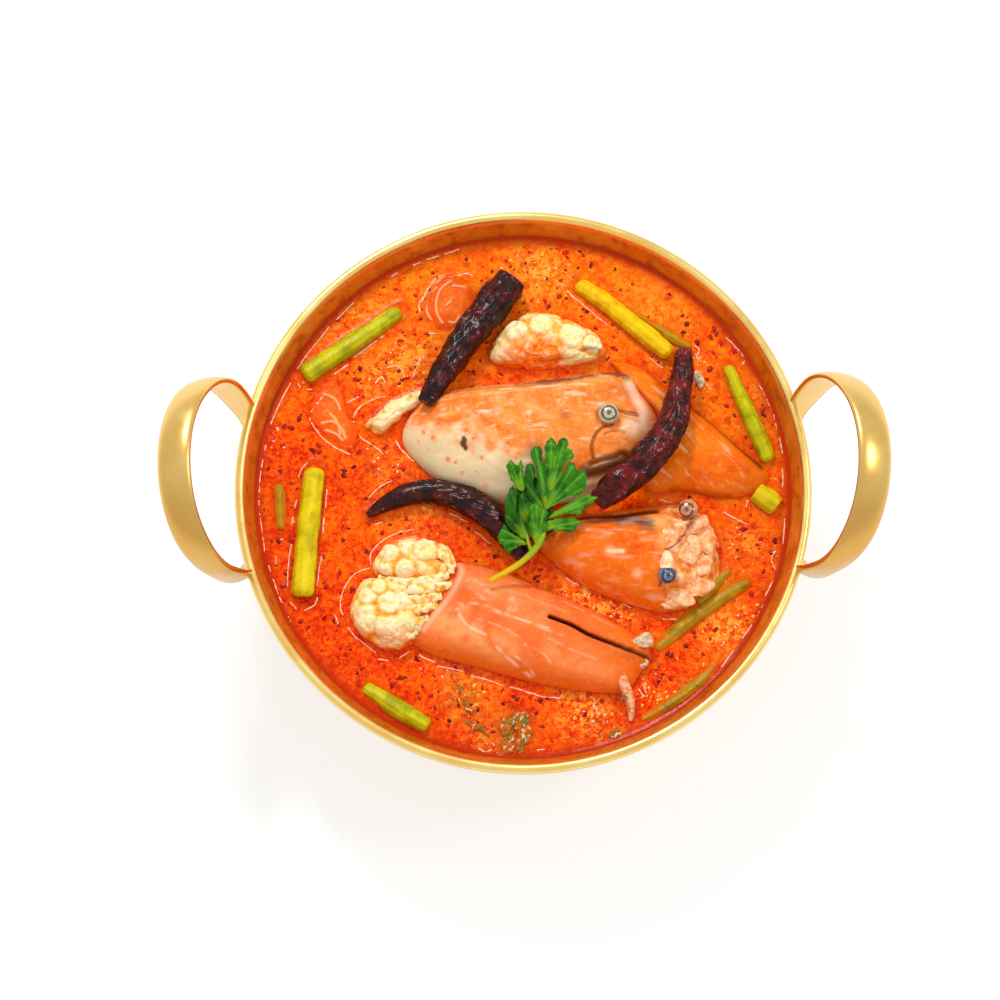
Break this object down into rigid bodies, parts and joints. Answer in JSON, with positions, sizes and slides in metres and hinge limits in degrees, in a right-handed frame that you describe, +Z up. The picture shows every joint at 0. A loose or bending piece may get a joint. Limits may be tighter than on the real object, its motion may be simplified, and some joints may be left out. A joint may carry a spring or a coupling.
{
  "type": "tom yum soup",
  "caption": "Tom yum soup with prawn pieces, dried chilies, green stems and coriander, filled to just below the rim of a flat-based brass pot with a loop handle on each side",
  "frame": {"origin": "middle of the pot's flat base, where it stands", "axes": "+Z up, +X towards the right handle, -Y towards the diner"},
  "size_m": [0.242, 0.2, 0.1099],
  "materials": {
    "brass": "satin brushed brass with a bright rim",
    "broth": "glossy opaque orange-red broth with red oil",
    "prawn_shell": "wet cooked prawn shell",
    "prawn_meat": "moist cooked prawn meat",
    "dried_chili": "wrinkled glossy dried chili skin",
    "green_stem": "moist cooked green stem",
    "coriander": "fresh leaf, slightly shiny",
    "mushroom": "soft mushroom soaked in broth"
  },
  "bodies": {
    "root": {"broth": "broth", "coriander_sprig": "coriander", "dried_chili_left": "dried_chili", "dried_chili_right": "dried_chili", "dried_chili_upper": "dried_chili", "green_stem_far_left": "green_stem", "green_stem_left": "green_stem", "green_stem_lower_left": "green_stem", "green_stem_right": "green_stem", "green_stem_short_right": "green_stem", "green_stem_upper_left": "green_stem", "green_stem_upper_right": "green_stem", "handle_left": "brass", "handle_right": "brass", "herb_front": "green_stem", "mushroom_left": "mushroom", "mushroom_upper": "mushroom", "pot": "brass", "prawn_head_right": "prawn_shell", "prawn_head_upper": "prawn_shell", "prawn_leg": "prawn_shell", "prawn_meat_back": "prawn_meat", "prawn_meat_front_lower": "prawn_meat", "prawn_meat_front_upper": "prawn_meat", "prawn_meat_left": "prawn_meat", "prawn_shell_front": "prawn_shell", "prawn_shell_right": "prawn_shell"}
  },
  "joints": []
}
